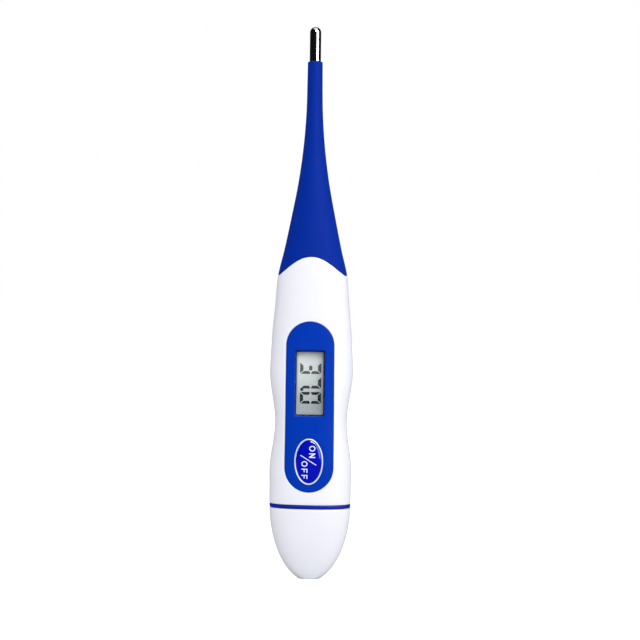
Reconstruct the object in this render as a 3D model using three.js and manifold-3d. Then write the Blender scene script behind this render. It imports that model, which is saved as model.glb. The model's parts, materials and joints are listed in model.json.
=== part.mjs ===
// A digital clinical thermometer with a soft bending tip, standing on the end of its battery cap.
// Millimetres. +Z runs from the battery cap up to the metal sensor cap, the display faces -Y,
// +X is to the right of the display, and the origin is under the middle of the battery cap.
import * as THREE from 'three';
import { mergeVertices } from 'three/addons/utils/BufferGeometryUtils.js';
import Module from 'manifold-3d';

const wasm = await Module();
wasm.setup();

// ---------- driving dimensions ----------
const LENGTH = 128;
const GAP = 0.3; // between pieces that touch
const OVERLAP = 0.1; // of two shapes that are joined into one piece

// Outer form: half-width and half-depth up the body, rounded at the tail and waisted for the fingers.
const BODY_WIDTHS = [[17.7, 9.45], [48, 9.65], [56, 9.25], [64, 8.55], [70.4, 8.0], [76, 6.7], [84, 5.05],
  [92, 3.55], [100, 2.5], [108, 1.92], [116, 1.76], [120, 1.73]];
const BODY_DEPTHS = [[17.7, 5.6], [48, 5.7], [60, 5.6], [70, 5.15], [78, 4.5], [88, 3.55], [96, 2.8],
  [104, 2.15], [110, 1.87], [116, 1.76], [120, 1.73]];
const TAIL_CENTRE_Z = 17.7;
// Each reach is a little over the tail's height, which leaves a flat foot.
const TAIL_WIDTH_REACH = 18.25;
const TAIL_DEPTH_REACH = 19.5;
const WAIST_LOW_Z = 24.5;
const WAIST_HIGH_Z = 48.5;
const WAIST_DEPTH = 1.35;
const BODY_FULLNESS = 2.4; // 2 is an ellipse, more is boxier
const FULL_BELOW_Z = 60;
const ROUND_ABOVE_Z = 92;
const FULL_FRONT_TOP_Z = 52; // above the waist, where the sides start to close in

// White housing
const PARTING_Z = 17.02; // middle of the seal line
const SEAL_HEIGHT = 0.9;
const WALL = 1.3;
const HOUSING_LOW_Z = PARTING_Z + SEAL_HEIGHT / 2 + GAP;
const CAVITY_TOP_Z = 66.5;
const SHOULDER_SIDE_Z = 70.2; // where sleeve and housing meet at the sides
const SHOULDER_FRONT_Z = 74.5; // and at the front and back
const SHOULDER_POWER = 3;
const SPIGOT_TOP_Z = 84;
const SPIGOT_LOW = [5.4, 3.5];
const SPIGOT_HIGH = [2.7, 2.2];
const LEAD_BORE_RADIUS = 0.9;
const LEAD_LOW_Z = CAVITY_TOP_Z + GAP;
const LABEL_RECESS = { low: 30, high: 56, halfWidth: 5, faceY: 5.1 };

// Blue front panel, set in the housing's front
const PANEL_LOW_Z = 20.45;
const PANEL_HIGH_Z = 59.6;
const PANEL_LOW_RADIUS = 5.6;
const PANEL_HIGH_RADIUS = 5.5;
const PANEL_BACK_Y = -4.6;
const FLOOR_BACK_Y = -3.7; // inner face of the housing wall behind the panel
const WINDOW_LOW_Z = 37.9;
const WINDOW_HIGH_Z = 53.0;
const WINDOW_HALF_WIDTH = 3.45;
const COLLAR_WALL = 0.9; // rim round the window that reaches through the housing wall
const LENS_FRONT_Y = -4.9;
const LENS_THICKNESS = 0.5;

// Button and its rim
const BUTTON_Z = 27.5;
const RIM_OUTER = [3.32, 5.35];
const RIM_INNER = [3.0, 4.95];
const BUTTON_EDGE_Y = -5.5;
const BUTTON_CROWN = 0.55;
const FLANGE_SHARE = 1.18; // of the stem's size
const FLANGE_THICKNESS = 0.4;
const PLUNGER_RADIUS = 0.8;

// Board and what it carries; y runs from the display side to the back
const BOARD = { halfWidth: 5.1, front: -0.6, back: 0.2, low: 21.3, high: 65.5 };
const DISPLAY_GLASS = { halfWidth: 5.0, front: -3.4, back: -2.2, low: 36.6, high: 54.4 };
const REFLECTOR_THICKNESS = 0.3;
const ZEBRA_WIDTH = 1.3;
const CHIP = { radius: 2.6, frontShare: 0.6, thickness: 0.8, z: 60 };
const RESISTOR = { x: -2.6, z: 34.8, width: 1.6, thickness: 0.5, height: 0.8 };
const CAPACITOR = { x: 1.8, z: 34.8, width: 0.8, thickness: 0.7, height: 1.6 };
const DOME = { radius: 2.2, frontShare: 0.5, thickness: 0.35 };
const CARRIER = { halfWidth: 6.1, railWidth: 0.7, front: -1.2, back: 1.5, low: 11.2, high: 65.5 };
const FORK_HALF_WIDTH = 5.2;
const FORK_BACK_Y = 2.7;
const FORK_TOP_Z = 25.5;
const BUZZER = { radius: 4.5, thickness: 0.4, y: 3.1, z: 57 };

// Button cell and its springs
const CELL_RADIUS = 3.95;
const CELL_THICKNESS = 3.6;
const CELL_Z = 16.1;
const SPRING_THICKNESS = 0.2;
const POSITIVE_SPRING = { halfWidth: 2.5, halfDepth: 1.2 };
// The negative spring's tongue reaches this far below the middle of the cell.
const NEGATIVE_SPRING = { halfWidth: 1.5, reach: 2.5, bendZ: BOARD.low + 1 };

// Battery cap
const CAP_TOP_Z = PARTING_Z - SEAL_HEIGHT / 2 - GAP;
const PLUG_TOP_Z = 21;
const PLUG_WALL = 0.8;
const CAP_HOLLOW_LOW_Z = 2.4;
const CAP_CREST = 1; // height over which the plug's foot is joined to the cap

// Soft sleeve: link joints up the tip. Even ones bend forward and back, odd ones to the sides.
const LINK_JOINT_Z = [91.5, 94.8, 98, 101, 104, 106.6, 109, 111.3, 113.6, 115.8];
const LINK_ANGLE = THREE.MathUtils.degToRad(9);
const LINK_CLEARANCE = 0.06;
const LEAD_RADIUS = 0.4;

// Metal sensor cap
const SLEEVE_TOP_Z = 119.9;
const SENSOR_RADIUS = 1.3;
const SENSOR_WALL = 0.35;
const SENSOR_SKIRT_RADIUS = 1.05;
const SENSOR_SKIRT_LOW_Z = 117;
const POTTING = { radius: 0.6, low: 120.8, high: 124.8 };
const THERMISTOR = { radius: 0.5, z: 125.7 };

// Facets
const BODY_SIDES = 40;
const LINK_SIDES = 24;
const BORE_SIDES = 12;
const CURVE_SEGMENTS = 14;
const LEAD_SIDES = 8;
const WAIST_STEPS = 8;
const SHOULDER_STEPS = 16;
const TAIL_STEPS = 9;
const TAIL_CROWDING = 1.6; // levels crowd towards the rounded end
const FAR = 20; // reaches past the body in a cut

// ---------- shapes ----------
function solid(geometry) {
  const bare = geometry.clone();
  bare.deleteAttribute('normal');
  bare.deleteAttribute('uv');
  const merged = mergeVertices(bare, 1e-4);
  return new wasm.Manifold(new wasm.Mesh({
    numProp: 3,
    vertProperties: new Float32Array(merged.attributes.position.array),
    triVerts: new Uint32Array(merged.index.array),
  }));
}

function geometryOf(shape) {
  const { vertProperties, triVerts } = shape.getMesh();
  const geometry = new THREE.BufferGeometry();
  geometry.setAttribute('position', new THREE.BufferAttribute(vertProperties, 3));
  geometry.setIndex(new THREE.BufferAttribute(triVerts, 1));
  geometry.computeVertexNormals();
  return geometry;
}

function throughStations(stations) {
  const curve = new THREE.CubicInterpolant(
    stations.map(([z]) => z),
    stations.map(([, size]) => size),
    1,
  );
  return (z) => curve.evaluate(z)[0];
}

const plainHalfWidth = throughStations(BODY_WIDTHS);
const plainHalfDepth = throughStations(BODY_DEPTHS);

// Share of the full section that is left at height z in the rounded tail.
function tailShare(z, reach) {
  const drop = Math.max(TAIL_CENTRE_Z - z, 0) / reach;
  return Math.sqrt(1 - drop * drop);
}

function waist(z) {
  if (z <= WAIST_LOW_Z || z >= WAIST_HIGH_Z) return 0;
  const along = (z - WAIST_LOW_Z) / (WAIST_HIGH_Z - WAIST_LOW_Z);
  return WAIST_DEPTH * Math.sin(Math.PI * along) ** 2;
}

function outerHalfSizes(z) {
  const level = Math.max(z, TAIL_CENTRE_Z);
  const width = plainHalfWidth(level) * tailShare(z, TAIL_WIDTH_REACH);
  const depth = plainHalfDepth(level) * tailShare(z, TAIL_DEPTH_REACH);
  return [width - waist(z), depth];
}

function insetHalfSizes(inset) {
  return (z) => outerHalfSizes(z).map((size) => size - inset);
}

function bodyFullness(z) {
  const roundness = THREE.MathUtils.smoothstep(z, FULL_BELOW_Z, ROUND_ABOVE_Z);
  return THREE.MathUtils.lerp(BODY_FULLNESS, 2, roundness);
}

function spread(low, high, count) {
  return Array.from({ length: count + 1 }, (_, i) => low + ((high - low) * i) / count);
}

function crowded(low, high, count) {
  return spread(0, 1, count).map((t) => low + (high - low) * t ** TAIL_CROWDING);
}

// A closed body along Z. Its section at each level is a rounded oval of the half-sizes given there.
function loft(levels, halfSizes, fullness = bodyFullness, sides = BODY_SIDES) {
  const rows = levels.length - 1;
  const geometry = new THREE.CylinderGeometry(1, 1, rows, sides, rows);
  geometry.rotateX(Math.PI / 2);
  const points = geometry.attributes.position;
  for (let i = 0; i < points.count; i += 1) {
    const z = levels[Math.round(points.getZ(i) + rows / 2)];
    const [halfWidth, halfDepth] = halfSizes(z);
    const swell = (t) => Math.sign(t) * Math.abs(t) ** (2 / fullness(z));
    points.setXYZ(i, halfWidth * swell(points.getX(i)), halfDepth * swell(points.getY(i)), z);
  }
  return solid(geometry);
}

// A straight piece between two heights, oval or round.
function post(halfSizes, low, high, sides = BORE_SIDES) {
  return loft([low, high], () => halfSizes, () => 2, sides);
}

// An outline drawn in X and Z, thickened from yFront back to yBack.
function plate(outline, yFront, yBack) {
  const geometry = new THREE.ExtrudeGeometry(outline, {
    depth: yBack - yFront,
    bevelEnabled: false,
    curveSegments: CURVE_SEGMENTS,
  });
  geometry.rotateX(Math.PI / 2);
  geometry.translate(0, yBack, 0);
  return solid(geometry);
}

// An outline drawn in Y and Z, thickened to both sides of X = 0.
function strip(corners, halfWidth) {
  const outline = new THREE.Shape(corners.map(([y, z]) => new THREE.Vector2(y, z)));
  const geometry = new THREE.ExtrudeGeometry(outline, { depth: 2 * halfWidth, bevelEnabled: false });
  geometry.translate(0, 0, -halfWidth);
  geometry.rotateX(Math.PI / 2);
  geometry.rotateZ(Math.PI / 2);
  return solid(geometry);
}

function block([x0, x1], [y0, y1], [z0, z1]) {
  const geometry = new THREE.BoxGeometry(x1 - x0, y1 - y0, z1 - z0);
  geometry.translate((x0 + x1) / 2, (y0 + y1) / 2, (z0 + z1) / 2);
  return solid(geometry);
}

function oval([halfWidth, halfHeight], grow = 0) {
  const outline = new THREE.Shape();
  outline.absellipse(0, BUTTON_Z, halfWidth + grow, halfHeight + grow, 0, 2 * Math.PI);
  return outline;
}

function panelOutline(grow = 0) {
  const outline = new THREE.Shape();
  outline.absarc(0, PANEL_LOW_Z + PANEL_LOW_RADIUS, PANEL_LOW_RADIUS + grow, Math.PI, 2 * Math.PI);
  outline.absarc(0, PANEL_HIGH_Z - PANEL_HIGH_RADIUS, PANEL_HIGH_RADIUS + grow, 0, Math.PI);
  return outline;
}

function windowBlock(grow, yFront, yBack) {
  return block(
    [-WINDOW_HALF_WIDTH - grow, WINDOW_HALF_WIDTH + grow],
    [yFront, yBack],
    [WINDOW_LOW_Z - grow, WINDOW_HIGH_Z + grow],
  );
}

// ---------- housing and front ----------
// The room above the shoulder: low across the sides, rising steeply to the front and back.
function aboveShoulder(lift = 0) {
  const past = 1.1; // the valley runs on a little past the body
  const reach = outerHalfSizes(SHOULDER_FRONT_Z)[1] * past;
  const rise = (SHOULDER_FRONT_Z - SHOULDER_SIDE_Z) * past ** SHOULDER_POWER;
  const valley = spread(-1, 1, SHOULDER_STEPS)
    .map((t) => [t * reach, SHOULDER_SIDE_Z + lift + rise * Math.abs(t) ** SHOULDER_POWER]);
  return strip([...valley, [reach, 2 * LENGTH], [-reach, 2 * LENGTH]], FAR);
}

function spigot(grow = 0) {
  const halfSizes = (z) => {
    const along = (z - CAVITY_TOP_Z) / (SPIGOT_TOP_Z - CAVITY_TOP_Z);
    return SPIGOT_LOW.map((low, i) => THREE.MathUtils.lerp(low, SPIGOT_HIGH[i], along) + grow);
  };
  return loft([CAVITY_TOP_Z, SPIGOT_TOP_Z + grow], halfSizes, () => 2, LINK_SIDES);
}

function leadBore() {
  return post([LEAD_BORE_RADIUS, LEAD_BORE_RADIUS], CAVITY_TOP_Z - 1, LENGTH);
}

// The inside of the housing, flat behind the front panel, made smaller all round by shrink.
function cavity(shrink, low, high) {
  const levels = [low, ...spread(WAIST_LOW_Z, WAIST_HIGH_Z, WAIST_STEPS), BUZZER.z, high]
    .filter((z) => z >= low && z <= high);
  const front = FLOOR_BACK_Y + shrink;
  return loft([...new Set(levels)], insetHalfSizes(WALL + shrink))
    .intersect(block([-FAR, FAR], [front, FAR], [-FAR, LENGTH]));
}

function mainHousing() {
  const levels = [HOUSING_LOW_Z, ...spread(WAIST_LOW_Z, WAIST_HIGH_Z, WAIST_STEPS),
    ...spread(FULL_FRONT_TOP_Z, SHOULDER_FRONT_Z + 1, WAIST_STEPS)];
  const { low, high, halfWidth, faceY } = LABEL_RECESS;
  return loft(levels, outerHalfSizes)
    .subtract(aboveShoulder())
    .add(spigot())
    .subtract(cavity(0, HOUSING_LOW_Z - 1, CAVITY_TOP_Z))
    .subtract(leadBore())
    .subtract(plate(panelOutline(GAP), -FAR, PANEL_BACK_Y + GAP))
    .subtract(windowBlock(COLLAR_WALL + GAP, -FAR, 0))
    .subtract(plate(oval(RIM_INNER), -FAR, 0))
    .subtract(block([-halfWidth, halfWidth], [faceY, FAR], [low, high]));
}

function displayPanel() {
  const levels = [PANEL_LOW_Z - 1, ...spread(WAIST_LOW_Z, WAIST_HIGH_Z, WAIST_STEPS),
    ...spread(FULL_FRONT_TOP_Z, PANEL_HIGH_Z + 1, 2)];
  return loft(levels, outerHalfSizes)
    .intersect(plate(panelOutline(), -FAR, PANEL_BACK_Y))
    .add(windowBlock(COLLAR_WALL, PANEL_BACK_Y - GAP, FLOOR_BACK_Y))
    .subtract(windowBlock(0, -FAR, 0))
    .subtract(plate(oval(RIM_OUTER, GAP), -FAR, 0));
}

function displayLens() {
  return windowBlock(-GAP, LENS_FRONT_Y, LENS_FRONT_Y + LENS_THICKNESS);
}

function buttonRing() {
  const reach = RIM_OUTER[1] + 1;
  return loft(spread(BUTTON_Z - reach, BUTTON_Z + reach, WAIST_STEPS), outerHalfSizes)
    .intersect(plate(oval(RIM_OUTER), -FAR, PANEL_BACK_Y))
    .subtract(plate(oval(RIM_INNER), -FAR, 0));
}

// A domed oval key, with a flange behind the housing wall and a short plunger for the switch.
function onOffButton() {
  const [halfWidth, halfHeight] = RIM_INNER.map((size) => size - GAP);
  const crown = spread(0, Math.PI / 2, 5).map((turn) => new THREE.Vector2(
    Math.sin(turn),
    BUTTON_EDGE_Y - BUTTON_CROWN * Math.cos(turn),
  ));
  const flangeFront = FLOOR_BACK_Y + GAP;
  const flangeBack = flangeFront + FLANGE_THICKNESS;
  const profile = [
    ...crown,
    new THREE.Vector2(1, flangeFront),
    new THREE.Vector2(FLANGE_SHARE, flangeFront),
    new THREE.Vector2(FLANGE_SHARE, flangeBack),
    new THREE.Vector2(0, flangeBack),
  ];
  profile[0].x = 0;
  const key = new THREE.LatheGeometry(profile, 2 * CURVE_SEGMENTS);
  key.scale(halfWidth, 1, halfHeight);
  const domeTop = BOARD.front - GAP - DOME.thickness;
  const length = domeTop - GAP - flangeBack + OVERLAP;
  const plunger = new THREE.CylinderGeometry(PLUNGER_RADIUS, PLUNGER_RADIUS, length, BORE_SIDES);
  plunger.translate(0, flangeBack - OVERLAP + length / 2, 0);
  return solid(key).add(solid(plunger));
}

// ---------- inside the housing ----------
function displayGlass() {
  const { halfWidth, front, back, low, high } = DISPLAY_GLASS;
  return block([-halfWidth, halfWidth], [front, back], [low, high]);
}

function displayReflector() {
  const { halfWidth, back, low, high } = DISPLAY_GLASS;
  const right = halfWidth - ZEBRA_WIDTH - GAP;
  return block([-halfWidth, right], [back + GAP, back + GAP + REFLECTOR_THICKNESS], [low, high]);
}

function zebraStrip() {
  const { halfWidth, back, low, high } = DISPLAY_GLASS;
  return block([halfWidth - ZEBRA_WIDTH, halfWidth], [back + GAP, BOARD.front - GAP], [low, high]);
}

function circuitBoard() {
  const { halfWidth, front, back, low, high } = BOARD;
  return block([-halfWidth, halfWidth], [front, back], [low, high]);
}

// Channel that holds the board, ending in an open fork for the button cell.
function circuitCarrier() {
  const { halfWidth, railWidth, front, back, low, high } = CARRIER;
  const channel = block([-halfWidth, halfWidth], [front, back], [BOARD.low, high])
    .subtract(block([-halfWidth + railWidth, halfWidth - railWidth], [-FAR, BOARD.back + GAP], [0, LENGTH]));
  const cellRoom = CELL_RADIUS + GAP;
  const forkDepth = [-CELL_THICKNESS / 2, FORK_BACK_Y];
  const fork = block([-FORK_HALF_WIDTH, FORK_HALF_WIDTH], forkDepth, [low, FORK_TOP_Z])
    .subtract(block([-cellRoom, cellRoom], [-FAR, CELL_THICKNESS / 2 + GAP], [0, BOARD.low + GAP]))
    .subtract(block([-FAR, FAR], [-FAR, (BOARD.back + back) / 2], [BOARD.low - GAP, LENGTH]));
  const plugRoom = cavity(GAP + PLUG_WALL + GAP, low - 1, FORK_TOP_Z + 1);
  return channel.add(fork.intersect(plugRoom));
}

function contactPositive() {
  const { halfWidth, halfDepth } = POSITIVE_SPRING;
  const low = CELL_Z + CELL_RADIUS + GAP;
  return block([-halfWidth, halfWidth], [-halfDepth, halfDepth], [low, BOARD.low - GAP]);
}

function contactNegative() {
  const front = -CELL_THICKNESS / 2 - GAP - SPRING_THICKNESS;
  const back = BOARD.front - GAP;
  const { halfWidth, reach, bendZ } = NEGATIVE_SPRING;
  return strip([
    [front, CELL_Z - reach],
    [front + SPRING_THICKNESS, CELL_Z - reach],
    [front + SPRING_THICKNESS, bendZ],
    [back, bendZ],
    [back, bendZ + SPRING_THICKNESS],
    [front, bendZ + SPRING_THICKNESS],
  ], halfWidth);
}

// ---------- battery cap ----------
function sealRing() {
  const half = SEAL_HEIGHT / 2;
  return loft([PARTING_Z - half, PARTING_Z + half], outerHalfSizes)
    .subtract(cavity(0, PARTING_Z - SEAL_HEIGHT, PLUG_TOP_Z));
}

function batteryCap() {
  const tail = crowded(0, CAP_TOP_Z, TAIL_STEPS);
  const hollow = crowded(CAP_HOLLOW_LOW_Z, CAP_TOP_Z - CAP_CREST, TAIL_STEPS - 4);
  return loft(tail, outerHalfSizes)
    .add(cavity(GAP, CAP_TOP_Z - CAP_CREST, PLUG_TOP_Z))
    .subtract(loft(hollow, insetHalfSizes(WALL)))
    .subtract(cavity(GAP + PLUG_WALL, CAP_TOP_Z - 2 * CAP_CREST, LENGTH));
}

// ---------- soft sleeve and sensor ----------
function jointHalfGap(index) {
  const [halfWidth, halfDepth] = outerHalfSizes(LINK_JOINT_Z[index]);
  const reach = index % 2 === 0 ? halfDepth : halfWidth;
  return (LINK_ANGLE * reach + LINK_CLEARANCE) / 2;
}

// Lowest and highest level of the piece between joint index - 1 and joint index.
function linkSpan(index, low, high) {
  return [
    index === 0 ? low : LINK_JOINT_Z[index - 1] + jointHalfGap(index - 1),
    index === LINK_JOINT_Z.length ? high : LINK_JOINT_Z[index] - jointHalfGap(index),
  ];
}

function sleeveRoot() {
  const [low, high] = linkSpan(0, SHOULDER_SIDE_Z, 0);
  return loft(spread(low, high, WAIST_STEPS), outerHalfSizes)
    .intersect(aboveShoulder(GAP))
    .subtract(spigot(GAP))
    .subtract(leadBore());
}

function sleeveLink(index) {
  const [low, high] = linkSpan(index, 0, SLEEVE_TOP_Z);
  const skirtBore = SENSOR_SKIRT_RADIUS + GAP;
  return loft([low, (low + high) / 2, high], outerHalfSizes, () => 2, LINK_SIDES)
    .subtract(leadBore())
    .subtract(post([skirtBore, skirtBore], SENSOR_SKIRT_LOW_Z - GAP, LENGTH, 2 * BORE_SIDES));
}

function sensorLead(index) {
  const [low, high] = linkSpan(index, LEAD_LOW_Z, SLEEVE_TOP_Z + GAP);
  return post([LEAD_RADIUS, LEAD_RADIUS], low, high, LEAD_SIDES);
}

function domedEnd(radius, topZ) {
  return spread(0, Math.PI / 2, CURVE_SEGMENTS / 2).map((turn) => new THREE.Vector2(
    radius * Math.cos(turn),
    topZ - radius + radius * Math.sin(turn),
  ));
}

// A thin drawn-metal thimble with a narrower skirt held in the sleeve.
function sensorCap() {
  const shoulder = SLEEVE_TOP_Z + GAP;
  const inner = domedEnd(SENSOR_RADIUS - SENSOR_WALL, LENGTH - SENSOR_WALL).reverse();
  const outer = domedEnd(SENSOR_RADIUS, LENGTH);
  const skirtInner = SENSOR_SKIRT_RADIUS - SENSOR_WALL;
  outer.at(-1).x = 0;
  inner[0].x = 0;
  const profile = [
    ...inner,
    new THREE.Vector2(SENSOR_RADIUS - SENSOR_WALL, shoulder + SENSOR_WALL),
    new THREE.Vector2(skirtInner, shoulder + SENSOR_WALL),
    new THREE.Vector2(skirtInner, SENSOR_SKIRT_LOW_Z),
    new THREE.Vector2(SENSOR_SKIRT_RADIUS, SENSOR_SKIRT_LOW_Z),
    new THREE.Vector2(SENSOR_SKIRT_RADIUS, shoulder),
    new THREE.Vector2(SENSOR_RADIUS, shoulder),
    ...outer,
  ];
  const thimble = new THREE.LatheGeometry(profile, LINK_SIDES);
  thimble.rotateX(Math.PI / 2);
  return solid(thimble);
}

// ---------- materials ----------
function plastic(color, roughness) {
  return new THREE.MeshStandardMaterial({ color, roughness, metalness: 0 });
}

function metal(color, roughness) {
  return new THREE.MeshStandardMaterial({ color, roughness, metalness: 1 });
}

const white = plastic(0xeceef5, 0.35);
const panelBlue = plastic(0x0037af, 0.25);
const buttonBlue = plastic(0x1414b4, 0.15);
const sleeveBlue = plastic(0x032fa8, 0.5);
const sealBlue = plastic(0x102a90, 0.4);
const rimSilver = metal(0xd8dae2, 0.25);
const chrome = metal(0xd0d0d2, 0.08);
const displayGrey = plastic(0xb4bab2, 0.3);
const reflectorWhite = plastic(0xdcdfd6, 0.4);
const rubberBlack = plastic(0x1c1c20, 0.8);
const carrierWhite = plastic(0xdedfe0, 0.5);
const boardGreen = plastic(0x1f6b3a, 0.45);
const epoxyBlack = plastic(0x101012, 0.35);
const ceramicTan = plastic(0xa98a5c, 0.5);
const brassYellow = metal(0xc9a24a, 0.3);
const springSteel = metal(0xb9bbbe, 0.3);
const leadRed = plastic(0xa83228, 0.5);
const lensClear = new THREE.MeshStandardMaterial({
  color: 0xf4f7f8,
  roughness: 0.05,
  metalness: 0,
  transparent: true,
  opacity: 0.3,
});

// ---------- assembly ----------
const thermometer = new THREE.Group();

function place(name, geometry, material, [x, y, z] = [0, 0, 0]) {
  const mesh = new THREE.Mesh(geometry, material);
  mesh.name = name;
  mesh.position.set(x, y, z);
  thermometer.add(mesh);
}

place('battery_cap', geometryOf(batteryCap()), white);
place('seal_ring', geometryOf(sealRing()), sealBlue);
place('main_housing', geometryOf(mainHousing()), white);
place('display_panel', geometryOf(displayPanel()), panelBlue);
place('display_lens', geometryOf(displayLens()), lensClear);
place('button_ring', geometryOf(buttonRing()), rimSilver);
place('on_off_button', geometryOf(onOffButton()), buttonBlue, [0, 0, BUTTON_Z]);
place('lcd_glass', geometryOf(displayGlass()), displayGrey);
place('lcd_reflector', geometryOf(displayReflector()), reflectorWhite);
place('zebra_strip', geometryOf(zebraStrip()), rubberBlack);
place('circuit_carrier', geometryOf(circuitCarrier()), carrierWhite);
place('circuit_board', geometryOf(circuitBoard()), boardGreen);
place('battery_contact_positive', geometryOf(contactPositive()), springSteel);
place('battery_contact_negative', geometryOf(contactNegative()), springSteel);

// Places something of this thickness on the front of the board.
function onBoard(thickness, x, z) {
  return [x, BOARD.front - GAP - thickness / 2, z];
}

function blister({ radius, frontShare, thickness }) {
  return new THREE.CylinderGeometry(radius, radius * frontShare, thickness, 2 * BORE_SIDES);
}

function brick({ width, thickness, height }) {
  return new THREE.BoxGeometry(width, thickness, height);
}

place('controller_chip', blister(CHIP), epoxyBlack, onBoard(CHIP.thickness, 0, CHIP.z));
place('chip_resistor', brick(RESISTOR), epoxyBlack, onBoard(RESISTOR.thickness, RESISTOR.x, RESISTOR.z));
place('chip_capacitor', brick(CAPACITOR), ceramicTan, onBoard(CAPACITOR.thickness, CAPACITOR.x, CAPACITOR.z));
place('switch_dome', blister(DOME), springSteel, onBoard(DOME.thickness, 0, BUTTON_Z));

const buzzer = new THREE.CylinderGeometry(BUZZER.radius, BUZZER.radius, BUZZER.thickness, 2 * BORE_SIDES);
place('buzzer_disc', buzzer, brassYellow, [0, BUZZER.y, BUZZER.z]);

const cell = new THREE.CylinderGeometry(CELL_RADIUS, CELL_RADIUS, CELL_THICKNESS, 2 * BORE_SIDES);
place('battery', cell, springSteel, [0, 0, CELL_Z]);

place('sleeve_root', geometryOf(sleeveRoot()), sleeveBlue);
place('sensor_lead_0', geometryOf(sensorLead(0)), leadRed);
for (let index = 1; index <= LINK_JOINT_Z.length; index += 1) {
  place(`sleeve_link_${index}`, geometryOf(sleeveLink(index)), sleeveBlue);
  place(`sensor_lead_${index}`, geometryOf(sensorLead(index)), leadRed);
}
place('sensor_cap', geometryOf(sensorCap()), chrome);

const potting = post([POTTING.radius, POTTING.radius], POTTING.low, POTTING.high);
place('tip_potting', geometryOf(potting), epoxyBlack);
const bead = new THREE.SphereGeometry(THERMISTOR.radius, BORE_SIDES, LEAD_SIDES);
place('thermistor', bead, epoxyBlack, [0, 0, THERMISTOR.z]);

export default thermometer;
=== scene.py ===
"""Looks of a digital clinical thermometer with a soft bending tip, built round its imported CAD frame.

Lengths are in millimetres until a mesh is made. Angles round the body start at the middle of the front,
which faces -Y, and turn towards +X. The housing's skins are laid out flat first, as (across, height), and
then wrapped round.
"""
import json
import math

import bmesh
import bpy
import numpy as np
from mathutils import Matrix, Vector, geometry, kdtree

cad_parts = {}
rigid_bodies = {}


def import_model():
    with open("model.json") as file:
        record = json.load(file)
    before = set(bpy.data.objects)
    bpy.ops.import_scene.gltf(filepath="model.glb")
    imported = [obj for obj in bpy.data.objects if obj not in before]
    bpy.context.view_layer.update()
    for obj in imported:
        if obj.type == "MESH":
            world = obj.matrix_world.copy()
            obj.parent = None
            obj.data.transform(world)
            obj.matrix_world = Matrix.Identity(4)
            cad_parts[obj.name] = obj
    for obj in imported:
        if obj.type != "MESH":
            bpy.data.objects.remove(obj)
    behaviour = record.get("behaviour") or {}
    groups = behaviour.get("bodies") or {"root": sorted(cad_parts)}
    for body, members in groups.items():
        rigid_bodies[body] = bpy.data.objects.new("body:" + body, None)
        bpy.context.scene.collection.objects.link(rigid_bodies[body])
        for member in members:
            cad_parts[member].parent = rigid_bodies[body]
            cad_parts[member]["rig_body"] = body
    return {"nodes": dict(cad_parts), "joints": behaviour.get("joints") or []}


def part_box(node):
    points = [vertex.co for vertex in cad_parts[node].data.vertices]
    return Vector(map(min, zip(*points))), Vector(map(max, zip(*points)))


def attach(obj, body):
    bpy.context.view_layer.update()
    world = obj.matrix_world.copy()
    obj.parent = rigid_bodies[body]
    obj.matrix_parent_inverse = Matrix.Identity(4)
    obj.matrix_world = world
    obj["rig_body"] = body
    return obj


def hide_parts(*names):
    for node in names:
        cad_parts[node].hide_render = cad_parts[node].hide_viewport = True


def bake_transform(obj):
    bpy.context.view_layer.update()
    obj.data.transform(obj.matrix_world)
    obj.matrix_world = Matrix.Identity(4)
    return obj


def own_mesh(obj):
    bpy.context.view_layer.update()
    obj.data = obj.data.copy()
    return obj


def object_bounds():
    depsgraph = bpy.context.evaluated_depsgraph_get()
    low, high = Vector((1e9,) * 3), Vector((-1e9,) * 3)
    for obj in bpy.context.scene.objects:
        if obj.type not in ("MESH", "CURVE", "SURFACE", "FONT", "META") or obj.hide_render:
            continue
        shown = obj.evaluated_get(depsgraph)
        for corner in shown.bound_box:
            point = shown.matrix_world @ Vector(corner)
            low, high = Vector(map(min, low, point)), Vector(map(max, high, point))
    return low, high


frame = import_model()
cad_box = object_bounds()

MM = 0.001


def span(node, axis):
    """Lowest and highest place of a CAD node along an axis, in millimetres."""
    low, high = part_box(node)
    return low[axis] / MM, high[axis] / MM


def added(name, data):
    """A new object in the scene."""
    obj = bpy.data.objects.new(name, data)
    bpy.context.scene.collection.objects.link(obj)
    return obj


# ---------- camera ----------
CAMERA_DISTANCE = 400
FRAME_WIDTH = 148.7  # what the picture spans at the thermometer
SENSOR_WIDTH = 36
CAMERA_TURN = math.radians(4)  # to the right of the display's own direction
CAMERA_ROLL = math.radians(0.7)
AIM_RIGHT = 1.82
AIM_HEIGHT = 60
CAMERA_HEIGHT = 62


def make_camera():
    forward = Vector((-math.sin(CAMERA_TURN), math.cos(CAMERA_TURN), 0))
    right = Vector((math.cos(CAMERA_TURN), math.sin(CAMERA_TURN), 0))
    aim = right * AIM_RIGHT + Vector((0, 0, AIM_HEIGHT))
    place = aim - forward * CAMERA_DISTANCE + Vector((0, 0, CAMERA_HEIGHT - AIM_HEIGHT))
    data = bpy.data.cameras.new("camera")
    data.sensor_width = SENSOR_WIDTH
    data.lens = SENSOR_WIDTH * CAMERA_DISTANCE / FRAME_WIDTH
    data.clip_start = 0.01
    camera = added("camera", data)
    camera.location = place * MM
    look = (aim - place).to_track_quat("-Z", "Y").to_matrix().to_4x4()
    camera.rotation_euler = (look @ Matrix.Rotation(CAMERA_ROLL, 4, "Z")).to_euler()
    bpy.context.scene.camera = camera


make_camera()

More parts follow.
